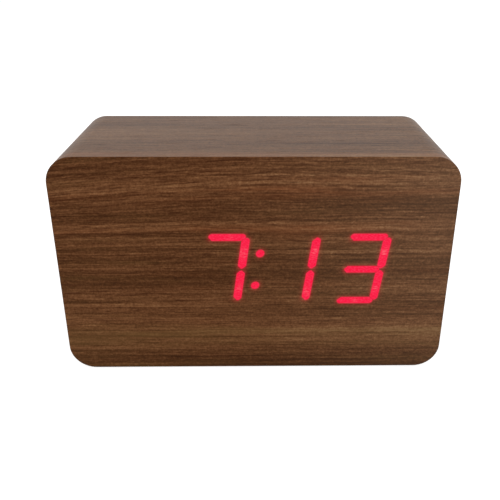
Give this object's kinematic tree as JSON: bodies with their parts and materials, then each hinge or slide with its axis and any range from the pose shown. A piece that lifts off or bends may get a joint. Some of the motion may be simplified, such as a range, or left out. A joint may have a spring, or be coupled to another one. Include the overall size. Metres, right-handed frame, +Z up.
{
  "type": "digital led desk clock",
  "caption": "Rounded wood-veneered block clock whose lit red digits shine through the front, with a recessed rear control panel and a battery door under it.",
  "frame": {"origin": "under the middle of the clock, on the surface that its feet stand on", "axes": "+X to the right as the clock is read, +Y from its front to its back, +Z up"},
  "size_m": [0.15, 0.06, 0.091],
  "materials": {
    "walnut_front": "satin wood film, grain along X",
    "walnut_wrap": "satin wood film, grain along X",
    "walnut_back": "satin wood film, grain along X",
    "lit_veneer": "wood film lit red from behind",
    "fibreboard": "raw medium-density fibreboard",
    "foot_rubber": "matt",
    "diffuser_film": "milky film",
    "well_white": "white moulding",
    "circuit_board": "green solder mask",
    "lamp": "clear resin over a white body",
    "chip_black": "moulded epoxy",
    "resistor": "glazed ceramic with tinned ends",
    "steel_screw": "zinc plated",
    "black_screw": "blackened steel",
    "panel_black": "fine texture",
    "button_black": "satin",
    "switch_black": "matt",
    "plunger_black": "matt",
    "buzzer_black": "matt",
    "capsule_metal": "satin",
    "crystal_metal": "bright",
    "cell_metal": "bright",
    "clip_metal": "tinned spring steel",
    "inlet_black": "matt",
    "pin_metal": "nickel plated",
    "bay_black": "fine texture",
    "cell_wrap": "wrapped cell with bare metal ends",
    "contact_metal": "nickel plated",
    "door_black": "fine texture",
    "plug_white": "moulded nylon",
    "ribbon_grey": "ribbed grey vinyl",
    "lead_red": "vinyl",
    "lead_black": "vinyl"
  },
  "bodies": {
    "case": {"front_veneer": "walnut_front", "wrap_veneer": "walnut_wrap", "back_veneer": "walnut_back", "case_core": "fibreboard", "back_board": "fibreboard", "feet": "foot_rubber", "display_diffuser": "diffuser_film", "display_light_wells": "well_white", "display_board": "circuit_board", "display_lamps": "lamp", "display_driver": "chip_black", "display_resistors": "resistor", "display_screws": "steel_screw", "control_panel": "panel_black", "control_panel_screws": "black_screw", "control_board": "circuit_board", "control_board_screws": "steel_screw", "buzzer": "buzzer_black", "microphone": "capsule_metal", "processor_chip": "chip_black", "quartz_crystal": "crystal_metal", "backup_cell": "cell_metal", "backup_cell_clip": "clip_metal", "inlet_socket": "inlet_black", "inlet_pin": "pin_metal", "battery_bay": "bay_black", "battery_bay_screws": "black_screw", "battery_positive_contacts": "contact_metal", "battery_negative_contacts": "contact_metal", "display_plug": "plug_white", "control_plug": "plug_white", "ribbon_cable": "ribbon_grey", "battery_lead_red": "lead_red", "battery_lead_black": "lead_black", "lit_hour": "lit_veneer", "lit_colon": "lit_veneer", "lit_minute_tens": "lit_veneer", "lit_minute_units": "lit_veneer", "battery_cell_1": "cell_wrap", "battery_cell_2": "cell_wrap", "battery_cell_3": "cell_wrap", "battery_cell_4": "cell_wrap", "set_switch": "switch_black", "down_switch": "switch_black", "up_switch": "switch_black"},
    "battery_door": {"battery_door": "door_black"},
    "set_button": {"set_button": "button_black", "set_plunger": "plunger_black"},
    "down_button": {"down_button": "button_black", "down_plunger": "plunger_black"},
    "up_button": {"up_button": "button_black", "up_plunger": "plunger_black"}
  },
  "joints": [
    {"name": "set_press", "type": "slide", "parent": "case", "child": "set_button", "axis": [0, -1, 0], "range_m": [0, 0.0005], "stiffness_N_per_m": 2000, "springref_m": -0.0003},
    {"name": "down_press", "type": "slide", "parent": "case", "child": "down_button", "axis": [0, -1, 0], "range_m": [0, 0.0005], "stiffness_N_per_m": 2000, "springref_m": -0.0003},
    {"name": "up_press", "type": "slide", "parent": "case", "child": "up_button", "axis": [0, -1, 0], "range_m": [0, 0.0005], "stiffness_N_per_m": 2000, "springref_m": -0.0003},
    {"name": "battery_door_hinge", "type": "hinge", "parent": "case", "child": "battery_door", "pos_m": [-0.0242, -0.0005, 0.0038], "axis": [0, 1, 0], "range_deg": [0, 80]}
  ]
}
